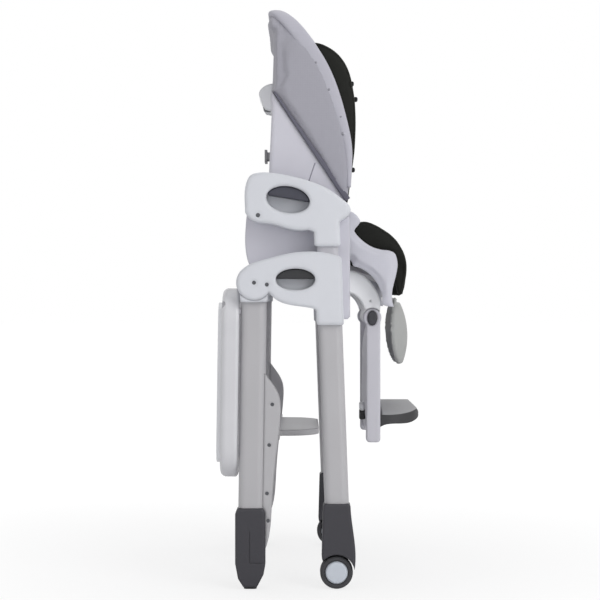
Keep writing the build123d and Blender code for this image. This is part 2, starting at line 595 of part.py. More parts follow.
# Padded seat sides and the one-piece seat cushion
cover_face = make_face(
    [
        Spline(*seat([(40, 682), (54, 687.5), (66, 684), (75, 677.5), (82, 667)])),
        Spline(*seat([(82, 667), (75, 656), (72, 648)])),
        Spline(*seat([(72, 648), (82, 636.5), (116, 616.5), (147, 607), (153, 590), (145.5, 545), (149, 501)])),
        Polyline(*seat([(149, 501), (139, 503), (121, 505)])),
        Spline(*seat([(121, 505), (118, 524), (104, 554), (76, 575), (62, 578)])),
        Polyline(*seat([(62, 578), (62, 590), (40, 598), (40, 682)])),
    ]
)
COVER_IN = BED_HALF - 1.0
cover = slab(cover_face, COVER_IN, BACK_HALF)
save("seat_cover", both_sides(cover))
BOLSTER_IN = PAN_HALF + 2.5
bolster_face = make_face(
    [
        Spline(*seat([(64, 655), (84, 667), (123, 654), (158, 620), (169, 591), (165, 550), (159, 523)])),
        Polyline(*seat([(159, 523), (148, 521)])),
        Spline(*seat([(148, 521), (146, 545), (138, 565), (112, 583), (64, 596)])),
        Polyline(*seat([(64, 596), (64, 655)])),
    ]
)
bolster = slab(bolster_face, BOLSTER_IN, COVER_IN - SOFT_GAP)
pad_lift = SEAT_PAD / cos(radians(SEAT_SLOPE))
rows = 4
pad_rear = 4.0 + MOVE_X
step = (PAN_BEND + 14 - pad_rear) / rows
crest_lines = []
for i in range(rows):
    a = pad_rear + i * step
    b = a + step
    mid = (a + b) / 2
    crest_lines.append(
        ThreePointArc(
            (a, pan_top(a) + pad_lift - 6),
            (mid, pan_top(mid) + pad_lift + 2),
            (b, pan_top(b) + pad_lift - 6),
        )
    )
pad_bend = pad_rear + rows * step
pad_front = (PAN_FRONT + 18, bend_z - 36)
pad_face = make_face(
    crest_lines
    + [
        Spline(
            (pad_bend, pan_top(pad_bend) + pad_lift - 6),
            (PAN_FRONT + 14, bend_z - 8),
            pad_front,
        ),
        Polyline(
            pad_front,
            (PAN_FRONT + 10, bend_z - 42),
            (PAN_FRONT + SOFT_GAP, bend_z - 38),
            (PAN_FRONT + SOFT_GAP, bend_z - 24),
        ),
        Spline(
            (PAN_FRONT + SOFT_GAP, bend_z - 24),
            (PAN_BEND + 20, bend_z - 5),
            (PAN_BEND, bend_z + SOFT_GAP),
        ),
        Polyline(
            (PAN_BEND, bend_z + SOFT_GAP),
            (pad_rear, pan_top(pad_rear) + SOFT_GAP),
            (pad_rear, pan_top(pad_rear) + pad_lift - 6),
        ),
    ]
)
cushion = across(pad_face, BOLSTER_IN + 4)
cushion = Part() + [cushion, bolster, mirror(bolster, about=Plane.XZ)]
save("seat_cushion", cushion)

# Crotch strap, buckle and its release button on the seat
turn = Rot(0, SEAT_SLOPE, 0)
buckle_x = 62.0 + MOVE_X
buckle_at = Pos(buckle_x, 0, pan_top(buckle_x) + pad_lift + 8.8) * turn
buckle = buckle_at * extrude(RectangleRounded(54, 46, 10), amount=14, both=False)
buckle = fillet(buckle.edges().group_by(SortBy.LENGTH)[-1], 2.0)
button_well = buckle_at * Pos(0, 0, 7) * extrude(Circle(11), amount=20)
buckle -= button_well
save("buckle", buckle)
save("buckle_button", buckle_at * Pos(0, 0, 10) * extrude(Circle(11 - RUN), amount=5.5))
strap = buckle_at * Pos(30.5, 0, -1) * Box(7, 25, 10)
save("crotch_strap", strap)

# Backrest shell, turning on trunnions in the side panels
shell_face = closed(
    seat([(-83.5, 905), (-83.5, 863), (-88.4, 754), (-88.4, 650), (-80, 642), (-24, 642), (36, 684), (55, 699)])
)
shell = across(shell_face, SHELL_OUT)
rear_edges = [e for e in shell.edges() if e.center().X < -83 + MOVE_X and e.bounding_box().size.Y < 0.02]
shell = fillet(rear_edges, 7.0)
hollow = closed(seat([(-77, 1000), (-77.5, 863), (-82, 754), (-82, 650), (-74, 630), (80, 630), (80, 1000)]))
shell -= across(hollow, SHELL_OUT - 8.0)
trunnion = slab(Pos(RECLINE_X, RECLINE_Z) * Circle(16), SHELL_OUT - 4, PANEL_IN - RUN)
trunnion += slab(Pos(RECLINE_X, RECLINE_Z) * Circle(TRUNNION_R), PANEL_IN - RUN, PANEL_OUT - 3.0)
shell += both_sides(trunnion)
save("back_shell", shell)

# Fabric hood over the upper backrest
rim_line = seat([(-77, 1020), (-85, 1050), (-68, 1061), (-40, 1039), (19, 952), (52, 860), (64, 800), (63, 720), (58.5, 702)])
hood_face = make_face(
    [
        Spline(*rim_line),
        Polyline(rim_line[-1], *seat([(55.4, 699.3), (-83.1, 905.3), (-79, 914), (-76.5, 974)]), rim_line[0]),
    ]
)
HOOD_TOP = 1061.0 + MOVE_Z
hood = across(hood_face, BACK_HALF)
front_view = Pos(0, HOOD_TOP - 300) * RectangleRounded(2 * BACK_HALF, 600, 64)
hood &= extrude(Plane.YZ * front_view, amount=400, both=True)
core_face = closed(seat([(-62, 600), (-62, 1024), (-48, 1028), (-22, 1001), (120, 1001), (120, 600)]))
core_view = Pos(0, HOOD_TOP - HOOD_WALL - 300) * RectangleRounded(2 * (BACK_HALF - HOOD_WALL), 600, 54)
core = across(core_face, BACK_HALF)
hood -= core & extrude(Plane.YZ * core_view, amount=400, both=True)
save("back_hood", hood)

# One-piece back cushion: channelled centre between two side rolls
rows = 4
pad_low = 640.0 + MOVE_Z
row = (996.0 + MOVE_Z - pad_low) / rows
crest_lines = []
for i in range(rows):
    a = pad_low + i * row
    crest_lines.append(
        ThreePointArc((-44 + MOVE_X, a), (-33 + MOVE_X, a + row / 2), (-44 + MOVE_X, a + row))
    )
pad_high = pad_low + rows * row
centre_face = make_face(
    crest_lines
    + [
        Polyline(
            (-44 + MOVE_X, pad_high),
            (-61.6 + MOVE_X, pad_high),
            (-61.6 + MOVE_X, pad_low + 28),
            (-56 + MOVE_X, pad_low),
            (-44 + MOVE_X, pad_low),
        )
    ]
)
ROLL_IN = BED_HALF - 34.0
centre = across(centre_face, ROLL_IN + 4)
roll_face = make_face(
    [
        Spline(*seat([(-30, 996), (8, 999), (49, 970), (74, 890), (76, 835), (68, 750), (60, 692)])),
        Polyline(*seat([(60, 692), (22, 676), (-20, 652), (-61.6, 668), (-61.6, 960), (-30, 996)])),
    ]
)
roll_out = BED_HALF
roll = slab(roll_face, ROLL_IN, roll_out)
front_view = Pos(0, HOOD_TOP - HOOD_WALL - SOFT_GAP - 300) * RectangleRounded(2 * roll_out, 600, 50)
back_cushion = Part() + [centre, roll, mirror(roll, about=Plane.XZ)]
back_cushion &= extrude(Plane.YZ * front_view, amount=400, both=True)
save("back_cushion", back_cushion)

# Shoulder straps with pads, hanging in front of the back cushion
strap_x = -31.1 + MOVE_X
strap = Pos(strap_x, -52, 800 + MOVE_Z) * Box(2, 25, 200)
strap += Pos(strap_x + 3, -52, 842 + MOVE_Z) * Box(9, 46, 110)
save("shoulder_straps", both_sides(strap))

# Recline handle with its squeeze trigger, and the strap slider below it
handle_face = make_face(
    [
        Spline(*seat([(-83.5, 938), (-100, 933), (-110.5, 919), (-106.5, 906), (-103.5, 896)])),
        Polyline(*seat([(-103.5, 896), (-98, 888), (-84.5, 885), (-83.5, 938)])),
    ]
)
HANDLE_HALF = 42.0
handle = across(handle_face, HANDLE_HALF)
pocket = closed(seat([(-103.5, 880), (-88, 880), (-88, 922), (-99, 922)]))
handle -= across(pocket, HANDLE_HALF - 7)
save("recline_handle", handle)
trigger_low = closed(seat([(-100, 893), (-90, 893), (-90, 909), (-98.5, 909)]))
save("recline_trigger", across(trigger_low, HANDLE_HALF - 7 - RUN))
slider = Pos(-97.5 + MOVE_X, 0, 800 + MOVE_Z) * Box(5, 44, 24)
slider -= Pos(-97.5 + MOVE_X, 0, 800 + MOVE_Z) * Box(9, 28, 4)
slider += Pos(-91.5 + MOVE_X, 18, 800 + MOVE_Z) * Box(8, 6, 14)
slider += Pos(-91.5 + MOVE_X, -18, 800 + MOVE_Z) * Box(8, 6, 14)
save("strap_slider", slider)

# Calf flap hanging from the front of the seat, a dished pad like a piece of a ball
BEAD_R = 3.5
FLAP_X, FLAP_Z = PAN_FRONT + 10, bend_z - 42 - RUN - BEAD_R
FLAP_LOW = 394.0 + MOVE_Z
FLAP_R = 165.0
FLAP_WALL = 7.0
flap_high = FLAP_Z - 6
flap_mid = Pos(178 + MOVE_X - FLAP_R, 0, 448 + MOVE_Z)
flap_front = Pos(0, (FLAP_LOW + flap_high) / 2) * RectangleRounded(192, flap_high - FLAP_LOW, 60)
flap = extrude(Plane.YZ * flap_front, amount=400) & flap_mid * Sphere(FLAP_R)
flap -= flap_mid * Sphere(FLAP_R - FLAP_WALL)
loop_face = Pos(FLAP_X, FLAP_Z) * Circle(BEAD_R) + Pos(FLAP_X, FLAP_Z - 6) * Rectangle(5, 12)
loop = slab(loop_face, 38, 58)
flap = Part() + [flap, loop, mirror(loop, about=Plane.XZ)]
save("calf_flap", flap)

# Tray stored behind the rear legs, hung on two pegs
REAR = Pos(PIVOT_X, 0, PIVOT_Z) * Rot(0, REAR_LEAN, 0)
TRAY_FACE = -(REAR_DEPTH / 2 + 3.0)
TRAY_TOP = -10.0
TRAY_LOW = TRAY_TOP - TRAY_HEIGHT
TRAY_CORNER = 62.0
BELLY_R = 0.76 * TRAY_HALF


def tray_outline(inset):
    """Tray plan drawn in by a rim width: a rounded oblong less the belly curve."""
    oblong = RectangleRounded(2 * (TRAY_HALF - inset), TRAY_HEIGHT - 2 * inset, TRAY_CORNER - inset)
    return Pos(0, TRAY_LOW + TRAY_HEIGHT / 2) * oblong - Pos(0, TRAY_TOP + 90) * Circle(BELLY_R + inset)


def tray_slab(face, near, far):
    """Solid of a tray outline between two depths behind the leg line."""
    return extrude(Plane.YZ.offset(-far) * face, amount=far - near)


UNDER = -TRAY_FACE
WELL = TRAY_THICK - 12.0
outline = tray_outline(0)
tips = [v for v in outline.vertices() if v.Y > TRAY_TOP - 1 and abs(v.X) < TRAY_HALF - TRAY_CORNER - 1]
tray = tray_slab(fillet(tips, 13.0), UNDER, UNDER + TRAY_THICK)
rim_edges = [e for e in tray.edges() if e.bounding_box().size.X < 0.02 and e.center().X < -UNDER - 1]
tray = fillet(rim_edges, 11.0)
tray = fillet([e for e in tray.edges() if e.bounding_box().size.X < 0.02 and e.center().X > -UNDER - 0.1], 6.0)
tray -= tray_slab(tray_outline(TRAY_RIM), UNDER + TRAY_THICK - WELL, UNDER + TRAY_THICK + 1)
tray -= tray_slab(tray_outline(TRAY_RIM + 8), UNDER - 1, UNDER + 8)
tray -= Rot(90, 0, 0) * Cylinder(KNUCKLE_R + 4, 3 * TRAY_HALF)
PEG_R = 6.0
PEG_RISE = 20.0
PEG_Z = -52.0
peg_plane = Plane(
    origin=(TRAY_FACE, -HALF_TRACK, PEG_Z),
    z_dir=(-cos(radians(PEG_RISE)), 0, sin(radians(PEG_RISE))),
)
tray -= both_sides(extrude(peg_plane * Circle(PEG_R + RUN), amount=45, both=True))
save("tray", REAR * tray)
insert = tray_slab(tray_outline(TRAY_RIM + RUN), UNDER + TRAY_THICK - WELL, UNDER + TRAY_THICK + 7)
insert -= tray_slab(tray_outline(TRAY_RIM + 4), UNDER + TRAY_THICK - WELL + 2.5, UNDER + TRAY_THICK + 8)
save("tray_insert", REAR * insert)
peg = extrude(peg_plane * Circle(PEG_R), amount=20) + extrude(peg_plane * Circle(PEG_R), amount=-8)
peg -= Pos(0, -HALF_TRACK, PEG_Z) * Box(REAR_DEPTH, 60, 100)
save("tray_pegs", REAR * both_sides(peg))
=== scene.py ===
"""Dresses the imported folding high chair: padded fabric, straps, trims and finishes round the fixed frame."""

import math

import bmesh
import bpy
import numpy as np
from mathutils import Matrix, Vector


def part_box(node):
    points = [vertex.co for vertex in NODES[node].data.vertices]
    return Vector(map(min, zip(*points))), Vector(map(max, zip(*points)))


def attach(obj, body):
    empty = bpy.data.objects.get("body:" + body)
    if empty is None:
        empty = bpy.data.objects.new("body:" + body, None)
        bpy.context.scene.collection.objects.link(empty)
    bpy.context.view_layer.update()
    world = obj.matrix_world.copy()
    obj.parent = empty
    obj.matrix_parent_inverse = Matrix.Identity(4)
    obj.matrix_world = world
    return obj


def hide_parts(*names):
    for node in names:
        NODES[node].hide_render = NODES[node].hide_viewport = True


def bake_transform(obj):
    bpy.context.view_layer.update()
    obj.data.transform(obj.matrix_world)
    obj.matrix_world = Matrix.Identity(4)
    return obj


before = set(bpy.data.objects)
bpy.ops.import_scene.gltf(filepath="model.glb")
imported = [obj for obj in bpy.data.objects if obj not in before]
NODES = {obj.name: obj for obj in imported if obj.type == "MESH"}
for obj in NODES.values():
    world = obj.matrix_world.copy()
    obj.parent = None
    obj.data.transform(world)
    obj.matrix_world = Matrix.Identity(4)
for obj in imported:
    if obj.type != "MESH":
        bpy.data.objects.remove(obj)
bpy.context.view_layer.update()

bl_info = {
    "name": "Folding high chair dressing",
    "version": (1, 0, 0),
    "blender": (4, 5, 0),
    "location": "3D View > Sidebar > High chair",
    "description": "Builds the padded seat, straps, trims and finishes of a folding high chair",
    "category": "Object",
}

MM = 0.001
SIDES = ((-1, "right"), (1, "left"))

# Places on the seat, seen from the side: X and Z in millimetres, before the shift that the leg line gives them
SEAT_SHIFT = -4.8
SEAT_SLOPE = 19.5  # degrees
BACK_HALF = 186.0  # half the hood's width
STRAP_OUT = 52.0  # shoulder strap to the middle plane
SEAT_ROLL = [(66, 656), (84, 667), (123, 654), (158, 620), (169, 591), (165, 550), (160, 526)]
BACK_ROLL = [(-26, 996), (8, 999), (49, 970), (74, 890), (76, 835), (68, 750), (61, 696)]
GUSSET = [(14, 611), (2, 614), (-16, 620.5), (-34, 631), (-46, 643), (-52, 656)]
HOOD_EDGE = [(62.3, 727), (63.6, 752), (64, 800), (52, 860), (19, 952), (-8, 997)]
HOOD_CREST = [(-8, 997), (-26, 1022), (-42, 1041), (-56, 1054), (-66, 1061)]
HEM = [(-78.5, 902.6), (57.0, 703.8)]
CREASE = [(-3.3, 772.0), (-14.8, 738.0)]
STUDS = [(-1.5, 956.5), (22.8, 906.6), (44.2, 856.5), (48.6, 825.1)]
KEEPERS = [(67.5, 921.6), (74.5, 892.7), (69.5, 761.3)]
WAIST = [(-14, 112, 632), (8, 100, 634), (28, 76, 632), (44, 50, 628), (56, 26, 622)]

# Soft lamps: place and aim in metres, width in metres, watts
LAMPS = {
    "key": ((2.0, -2.4, 2.2), (0.0, 0, 0.5), 1.8, 38),
    "fill": ((-2.2, -2.4, 1.6), (0.0, 0, 0.6), 2.0, 8),
    "low": ((1.4, -2.8, 0.5), (0.1, 0, 0.45), 1.6, 10),
    "top": ((0.2, 0.6, 3.2), (0.0, 0, 0.5), 2.2, 14),
}
CAMERA_AT = (-0.0358, -3.0, 0.519)
CAMERA_LENS = 91.6


def linear(text):
    """A six-digit sRGB hex value as linear red, green and blue."""
    part = np.array([int(text[i:i + 2], 16) for i in (0, 2, 4)]) / 255
    return tuple(np.where(part <= 0.04045, part / 12.92, ((part + 0.055) / 1.055) ** 2.4))


def colour(name, text, words):
    """A colour setting whose default is given as sRGB hex."""
    return bpy.props.FloatVectorProperty(
        name=name, description=words, default=linear(text), size=3, min=0, max=1, subtype="COLOR"
    )


def length(name, value_mm, words):
    """A length setting whose default is given in millimetres."""
    return bpy.props.FloatProperty(
        name=name, description=words, default=value_mm * MM, min=0, unit="LENGTH", subtype="DISTANCE"
    )


class HighChairColours(bpy.types.PropertyGroup):
    """Colours of the chair's finishes."""

    plastic: colour("Mouldings", "D0D2D8", "White polypropylene of hubs and armrests")
    # Painted light: the yoke, handle and latch are the same white polypropylene as the hubs, given a lighter
    # colour to offset the shade they sit in
    bright: colour("White mouldings painted lighter", "F2F3F6", "White polypropylene of the yoke, handle and latch, painted lighter against their shade")
    shell: colour("Shell", "C8C7D0", "Pale shell and side panels")
    paint: colour("Leg paint", "B2B1B4", "Grey paint of the leg tubes")
    feet: colour("Feet", "343339", "Dark plastic of the feet")
    cover: colour("Cover", "A2A1AA", "Grey fabric of the hood")
    # Painted light: the padded rim is the hood's grey fabric in a lighter tint, for the light that the rim
    # catches
    rim: colour("Rim", "B6B5BF", "Hood's grey fabric on its padded rim, painted lighter for the light the rim catches")
    sides: colour("Seat sides", "C6C6CF", "Pale fabric of the seat sides")
    cushion: colour("Cushion", "191A17", "Charcoal fabric of the cushions")
    hem: colour("Hem", "676672", "Binding tape along the hood's lower edge")
    lever: colour("Levers", "3B3C47", "Slate plastic of the height levers")
    trigger: colour("Triggers", "26272A", "Near-black plastic of the fold triggers")
    rest: colour("Leg rest", "C5C4CC", "Bars and board of the leg rest")
    pan: colour("Seat pan", "BDBCC2", "Seat pan and tray pegs")
    plate: colour("Footplate", "303032", "Body of the footplate")
    mat: colour("Footplate mat", "9E9EA0", "Soft mat on the footplate")
    flap: colour("Calf flap", "A9AAA9", "Coated fabric of the calf flap")
    tray: colour("Tray", "D0D0D4", "Tray body")
    insert: colour("Tray insert", "EDEEF1", "Lift-out tray insert")
    webbing: colour("Webbing", "1E1F21", "Harness webbing")
    cap: colour("Wheel cap", "C3C9D2", "Wheel centre")
    tyre: colour("Tyre", "3A3A3D", "Tyre rubber")
    button: colour("Buttons", "34353B", "Dark plastic of the leg rest buttons")
    slider: colour("Strap slider", "8C8C8E", "Grey plastic of the strap slider")


class HighChairSizes(bpy.types.PropertyGroup):
    """Sizes of the soft pieces and trims."""

    voxel: length("Cushion mesh", 5.0, "Mesh size of the stuffed pieces")
    swell: length("Swell", 6.0, "Furthest that stuffing moves a point of a cushion")
    cover_swell: length("Cover swell", 4.0, "Furthest that padding moves a point of a cover")
    rim_width: length("Rim width", 27.0, "Padded rim along the hood's front edge")
    rim_height: length("Rim height", 13.0, "Thickness of that rim")
    hem_width: length("Hem width", 10.0, "Binding tape along the hood's lower edge")
    strap_width: length("Strap width", 25.0, "Harness webbing")


def colours():
    """The scene's colour settings."""
    return bpy.context.scene.high_chair_colours


def sizes():
    """The scene's size settings."""
    return bpy.context.scene.high_chair_sizes


def put(name, mesh):
    """A new object at the origin holding a mesh."""
    obj = bpy.data.objects.new(name, mesh)
    bpy.context.scene.collection.objects.link(obj)
    return obj


def coords(mesh):
    """Vertex places as an array."""
    flat = np.zeros(len(mesh.vertices) * 3)
    mesh.vertices.foreach_get("co", flat)
    return flat.reshape(-1, 3)


def normals(mesh):
    """Vertex normals as an array."""
    flat = np.zeros(len(mesh.vertices) * 3)
    mesh.vertices.foreach_get("normal", flat)
    return flat.reshape(-1, 3)


def place(mesh, points):
    """Moves a mesh's vertices to an array of places."""
    mesh.vertices.foreach_set("co", np.ascontiguousarray(points, float).ravel())
    mesh.update()


def smooth_faces(mesh):
    """Shades every face smooth."""
    mesh.polygons.foreach_set("use_smooth", np.ones(len(mesh.polygons), bool))
    mesh.update()


def settle(obj):
    """Makes what the modifiers give the object's own mesh."""
    graph = bpy.context.evaluated_depsgraph_get()
    made = bpy.data.meshes.new_from_object(obj.evaluated_get(graph))
    old = obj.data
    obj.modifiers.clear()
    obj.data = made
    bpy.data.meshes.remove(old)


def surface(name, grid, round_u=False, round_v=False):
    """A mesh whose vertices are a grid of places, rows u by columns v, closed on itself where asked."""
    rows, columns = grid.shape[:2]
    index = np.arange(rows * columns).reshape(rows, columns)
    if round_u:
        index = np.vstack([index, index[:1]])
    if round_v:
        index = np.hstack([index, index[:, :1]])
    faces = np.stack([index[:-1, :-1], index[1:, :-1], index[1:, 1:], index[:-1, 1:]], axis=-1)
    mesh = bpy.data.meshes.new(name)
    mesh.from_pydata(grid.reshape(-1, 3).tolist(), [], faces.reshape(-1, 4).tolist())
    smooth_faces(mesh)
    return mesh


def outward(mesh):
    """Merges touching vertices, closes open ends and points the faces outwards."""
    work = bmesh.new()
    work.from_mesh(mesh)
    bmesh.ops.remove_doubles(work, verts=work.verts, dist=1e-6)
    bmesh.ops.holes_fill(work, edges=[e for e in work.edges if e.is_boundary], sides=0)
    bmesh.ops.recalc_face_normals(work, faces=work.faces)
    work.to_mesh(mesh)
    work.free()
    smooth_faces(mesh)


def carried(name, path, normal, profile, grow=None):
    """Profile carried along a path: each profile point goes its first number along the side of the path,
    which is tangent times normal, and its second number along the normal. Grow widens it point by point."""
    tangent = np.gradient(path, axis=0)
    tangent /= np.linalg.norm(tangent, axis=1, keepdims=True)
    side = np.cross(tangent, normal)
    side /= np.linalg.norm(side, axis=1, keepdims=True)
    up = np.cross(side, tangent)
    wide = np.ones(len(path)) if grow is None else grow
    across = profile[None, :, :1] * wide[:, None, None]
    grid = path[:, None] + side[:, None] * across + up[:, None] * profile[None, :, 1:]
    mesh = surface(name, grid, round_v=True)
    outward(mesh)
    return mesh


def oval_profile(width, height, count=20, power=2.4):
    """Closed outline of a rounded strip: cosine and sine raised to a power below one, so the sides fill out."""
    turn = np.linspace(0, 2 * np.pi, count, endpoint=False)
    c, s = np.cos(turn), np.sin(turn)
    x = np.sign(c) * np.abs(c) ** (2 / power) * width / 2
    y = np.sign(s) * np.abs(s) ** (2 / power) * height / 2
    return np.stack([x, y], axis=1)


def pillow(name, centre, half, power=3.0, rows=28, columns=48):
    """Rounded block: longitude and latitude give cosines and sines, each raised to a power below one."""
    lat = np.linspace(-np.pi / 2, np.pi / 2, rows)[:, None]
    lon = np.linspace(0, 2 * np.pi, columns, endpoint=False)[None, :]

    def bent(v):
        return np.sign(v) * np.abs(v) ** (2 / power)

    x = bent(np.cos(lat)) * bent(np.cos(lon))
    y = bent(np.cos(lat)) * bent(np.sin(lon))
    z = bent(np.sin(lat)) * np.ones_like(lon)
    grid = np.stack([x, y, z], axis=-1) * np.array(half) + np.array(centre)
    mesh = surface(name, grid, round_v=True)
    outward(mesh)
    return mesh


def curve_through(points, count):
    """Even points along a smooth curve through given points: a cubic whose slope at each point is that of
    its neighbours."""
    p = np.array(points, float)
    step = np.linalg.norm(np.diff(p, axis=0), axis=1)
    at = np.concatenate([[0], np.cumsum(step)])
    slope = np.gradient(p, at, axis=0)
    t = np.linspace(0, at[-1], count)
    i = np.clip(np.searchsorted(at, t, side="right") - 1, 0, len(step) - 1)
    h = (at[i + 1] - at[i])[:, None]
    s = ((t - at[i]) / h[:, 0])[:, None]
    return (
        p[i] * (1 + 2 * s) * (1 - s) ** 2
        + slope[i] * h * s * (1 - s) ** 2
        + p[i + 1] * s ** 2 * (3 - 2 * s)
        - slope[i + 1] * h * s ** 2 * (1 - s)
    )


def stuffed(node, name, voxel, cap, shrink=0.0, relax=6, pressure=4.0):
    """A soft solid's copy with an even mesh, relaxed at its corners, drawn in a little and then blown up by
    cloth pressure; no point ends further than cap from where the relaxed copy had it."""
    mesh = NODES[node].data.copy()
    mesh.materials.clear()
    obj = put(name, mesh)
    outward(mesh)
    even = obj.modifiers.new("even_mesh", "REMESH")
    even.mode = "VOXEL"
    even.voxel_size = voxel
    settle(obj)
    soft = obj.modifiers.new("relaxed", "SMOOTH")
    soft.factor = 0.5
    soft.iterations = relax
    settle(obj)
    start = coords(obj.data)
    place(obj.data, start - normals(obj.data) * shrink)
    blow_up(obj, pressure)
    moved = coords(obj.data) - start
    far = np.linalg.norm(moved, axis=1, keepdims=True)
    place(obj.data, start + moved * np.minimum(1, cap / np.maximum(far, 1e-9)))
    smooth_faces(obj.data)
    return obj


def blow_up(obj, pressure):
    """Runs twenty frames of cloth with inside pressure and no gravity, and keeps the last one."""
    cloth = obj.modifiers.new("stuffing", "CLOTH")
    cloth.settings.use_pressure = True
    cloth.settings.uniform_pressure_force = pressure
    cloth.settings.effector_weights.gravity = 0
    cloth.settings.quality = 4
    cloth.settings.tension_stiffness = 12
    cloth.settings.compression_stiffness = 12
    cloth.settings.bending_stiffness = 0.6
    cloth.point_cache.frame_start = 1
    cloth.point_cache.frame_end = 20
    for step in range(1, 21):
        bpy.context.scene.frame_set(step)
    settle(obj)
    bpy.context.scene.frame_set(1)


def laid_on(pads, path, normal, reach, lift):
    """Path moved along one normal to lie on pads: each point goes to the highest pad vertex within reach of it,
    seen along the normal, plus a lift, and the heights are then averaged with their neighbours."""
    spots = np.concatenate([coords(pad.data) for pad in pads])
    normal = np.array(normal) / np.linalg.norm(normal)
    flat_spots = spots - (spots @ normal)[:, None] * normal
    flat_path = path - (path @ normal)[:, None] * normal
    near = np.linalg.norm(flat_spots[None] - flat_path[:, None], axis=2) < reach
    top = np.where(near, (spots @ normal)[None], -10).max(axis=1)
    top = np.where(near.any(axis=1), top, path @ normal)
    padded = np.pad(top, 3, mode="edge")
    even = np.convolve(padded, np.ones(7) / 7, mode="valid")
    return flat_path + (np.maximum(even, top - 0.001) + lift)[:, None] * normal


def seam(name, pad, path, radius):
    """Piping cord: the path's points go to the nearest pad vertices, are averaged along the path,
    and carry a small circle."""
    spots = coords(pad.data)
    outs = normals(pad.data)
    nearest = np.linalg.norm(spots[None] - path[:, None], axis=2).argmin(axis=1)
    line, face = spots[nearest], outs[nearest]
    weights = np.ones(9) / 9

    def even(rows):
        wide = np.pad(rows, ((4, 4), (0, 0)), mode="edge")
        return np.stack([np.convolve(wide[:, i], weights, mode="valid") for i in range(3)], axis=1)

    cord = oval_profile(2 * radius, 2 * radius, 12, 2.0)
    return carried(name, even(line) + even(face) * 0.4 * radius, even(face), cord)


def node(tree, kind, settings=None, **inputs):
    """Adds a shader node, sets its settings, and sets or links each named input."""
    made = tree.nodes.new(kind)
    for key, value in (settings or {}).items():
        setattr(made, key, value)
    for key, value in inputs.items():
        socket = made.inputs[int(key[1:])] if key[1:].isdigit() else made.inputs[key.replace("_", " ")]
        if isinstance(value, bpy.types.NodeSocket):
            tree.links.new(value, socket)
        else:
            socket.default_value = value
    return made


def fresh(name):
    """An empty material with its tree, principled shader and object coordinates."""
    made = bpy.data.materials.new(name)
    made.use_nodes = True
    tree = made.node_tree
    tree.nodes.clear()
    shader = node(tree, "ShaderNodeBsdfPrincipled")
    node(tree, "ShaderNodeOutputMaterial", Surface=shader.outputs[0])
    spot = node(tree, "ShaderNodeTexCoord").outputs["Object"]
    return made, tree, shader, spot


def shades(tree, factor, base, low, high):
    """Colour ramp between a darker and a lighter shade of one colour."""
    ramp = node(tree, "ShaderNodeValToRGB", Fac=factor)
    ramp.color_ramp.elements[0].color = (*[c * low for c in base], 1)
    ramp.color_ramp.elements[1].color = (*[min(1, c * high) for c in base], 1)
    return ramp.outputs["Color"]


def eased(tree, edge_mm):
    """Normal that turns over near an edge, as on a moulding with eased edges."""
    return node(tree, "ShaderNodeBevel", {"samples": 6}, Radius=edge_mm * MM).outputs[0]


def moulded(name, base, rough, grain_mm, depth=0.12, mottle=0.03, edge_mm=3.0):
    """Moulded thermoplastic: an even colour with a faint flow mottle, a fine spark-eroded grain that breaks up
    the gloss, and eased edges."""
    made, tree, shader, spot = fresh(name)
    flow = node(tree, "ShaderNodeTexNoise", Vector=spot, Scale=22.0, Detail=3.0)
    grain = node(tree, "ShaderNodeTexNoise", Vector=spot, Scale=1 / (grain_mm * MM), Detail=2.0)
    tint = shades(tree, flow.outputs["Fac"], base, 1 - mottle, 1 + mottle)
    tree.links.new(tint, shader.inputs["Base Color"])
    fac = grain.outputs["Fac"]
    gloss = node(tree, "ShaderNodeMapRange", Value=fac, To_Min=rough - 0.05, To_Max=rough + 0.07)
    tree.links.new(gloss.outputs[0], shader.inputs["Roughness"])
    edge = eased(tree, edge_mm)
    bump = node(tree, "ShaderNodeBump", Height=fac, Normal=edge, Strength=depth, Distance=0.0003)
    tree.links.new(bump.outputs[0], shader.inputs["Normal"])
    shader.inputs["IOR"].default_value = 1.49
    return made


def painted(name, base):
    """Powder-coated steel tube: satin paint with the slight orange peel of the coat."""
    made, tree, shader, spot = fresh(name)
    peel = node(tree, "ShaderNodeTexNoise", Vector=spot, Scale=1 / (2.2 * MM), Detail=1.0)
    cloud = node(tree, "ShaderNodeTexNoise", Vector=spot, Scale=9.0, Detail=2.0)
    tint = shades(tree, cloud.outputs["Fac"], base, 0.95, 1.04)
    tree.links.new(tint, shader.inputs["Base Color"])
    gloss = node(tree, "ShaderNodeMapRange", Value=cloud.outputs["Fac"], To_Min=0.34, To_Max=0.46)
    tree.links.new(gloss.outputs[0], shader.inputs["Roughness"])
    edge = eased(tree, 6.0)
    bump = node(
        tree, "ShaderNodeBump", Height=peel.outputs["Fac"], Normal=edge, Strength=0.1, Distance=0.0003
    )
    tree.links.new(bump.outputs[0], shader.inputs["Normal"])
    return made


